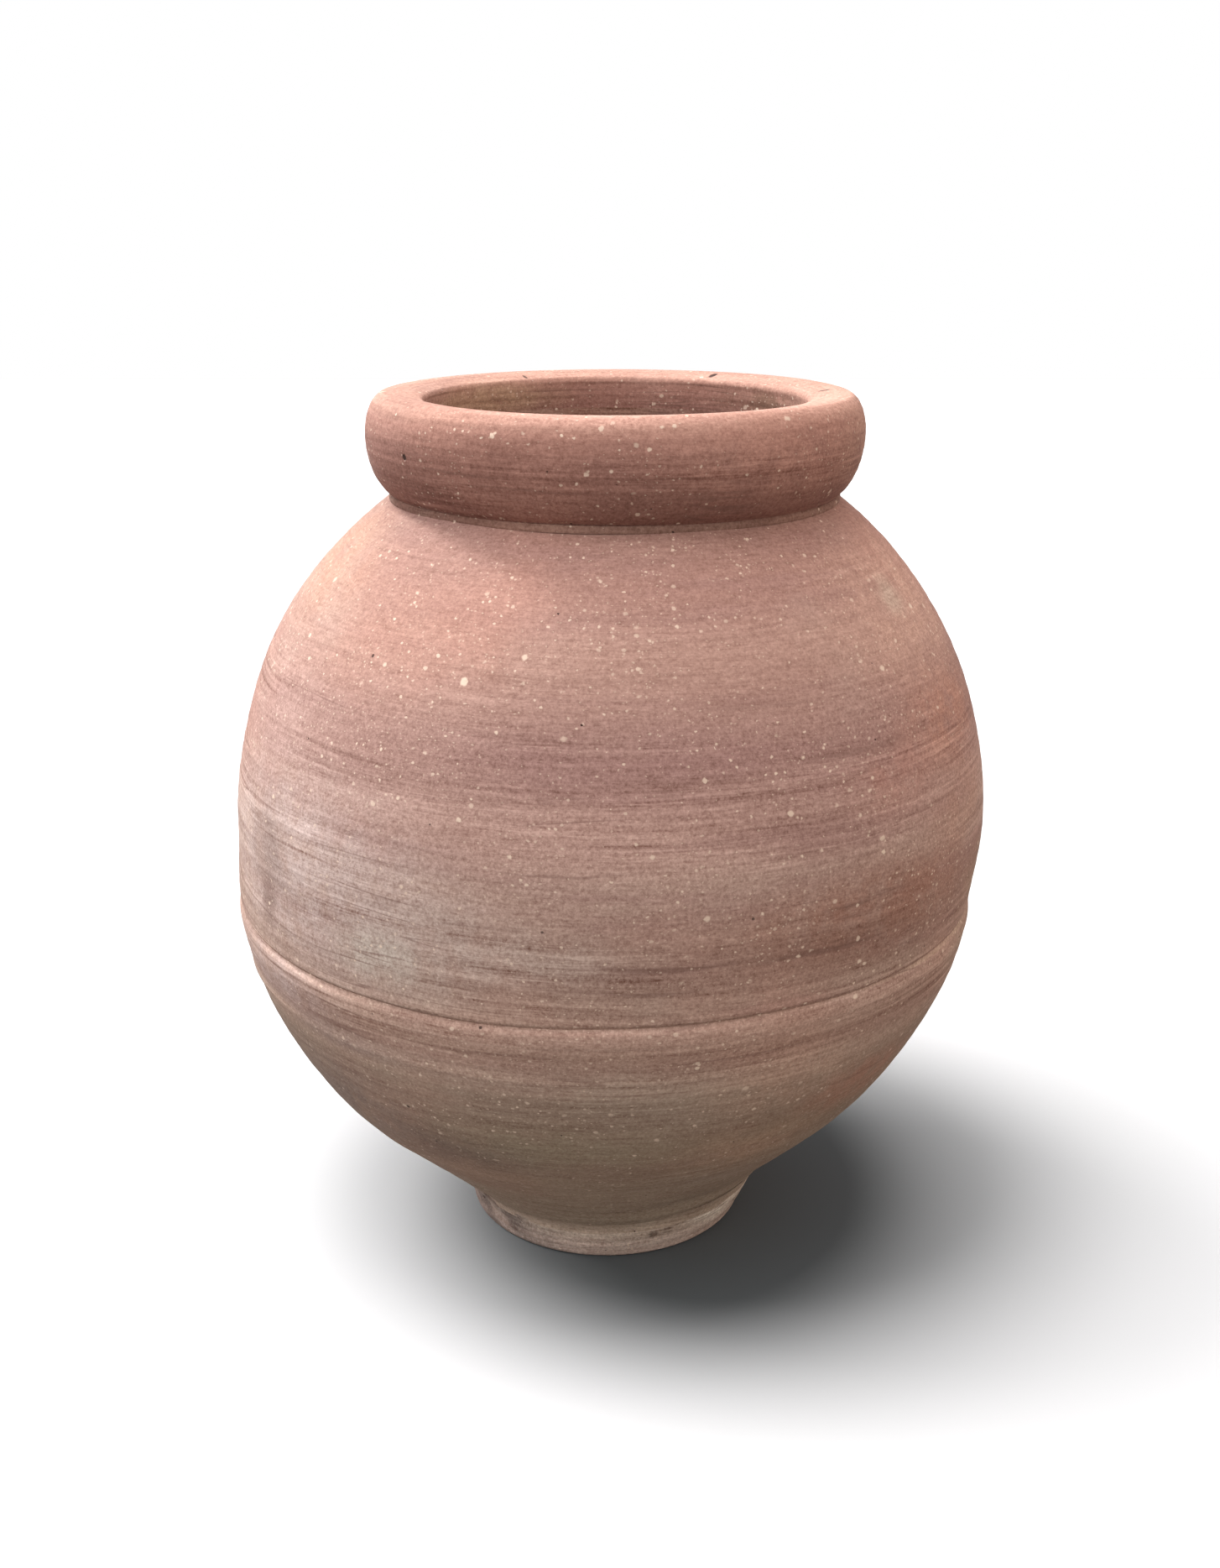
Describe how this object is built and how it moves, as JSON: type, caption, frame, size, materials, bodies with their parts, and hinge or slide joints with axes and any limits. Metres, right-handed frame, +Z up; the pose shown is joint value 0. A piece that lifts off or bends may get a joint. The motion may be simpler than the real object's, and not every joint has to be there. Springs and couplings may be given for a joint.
{
  "type": "olla jar",
  "caption": "Large round terracotta storage jar with a thick rolled rim, a wide mouth, a luted belly seam and a low foot, free-standing.",
  "frame": {"origin": "centre of the foot's underside, on the ground", "axes": "+Z up along the jar's axis of revolution, towards the mouth"},
  "size_m": [0.62, 0.62, 0.71],
  "materials": {
    "terracotta_rim": "matte unglazed terracotta, pink to brown, fine wheel lines and lime specks",
    "terracotta_body": "matte unglazed terracotta, brushed around, pink-brown with pale lime specks",
    "terracotta_foot": "matte unglazed clay, paler and greyer, worn edges",
    "slip": "matte dried clay slip"
  },
  "bodies": {
    "root": {"base_disc": "terracotta_body", "foot_ring": "terracotta_foot", "foot_slip": "slip", "lower_bowl": "terracotta_body", "seam_slip": "slip", "inner_seam_coil": "terracotta_body", "upper_body": "terracotta_body", "neck_slip": "slip", "neck_collar": "terracotta_rim", "rim_roll": "terracotta_rim", "rim_bead": "slip"}
  },
  "joints": []
}
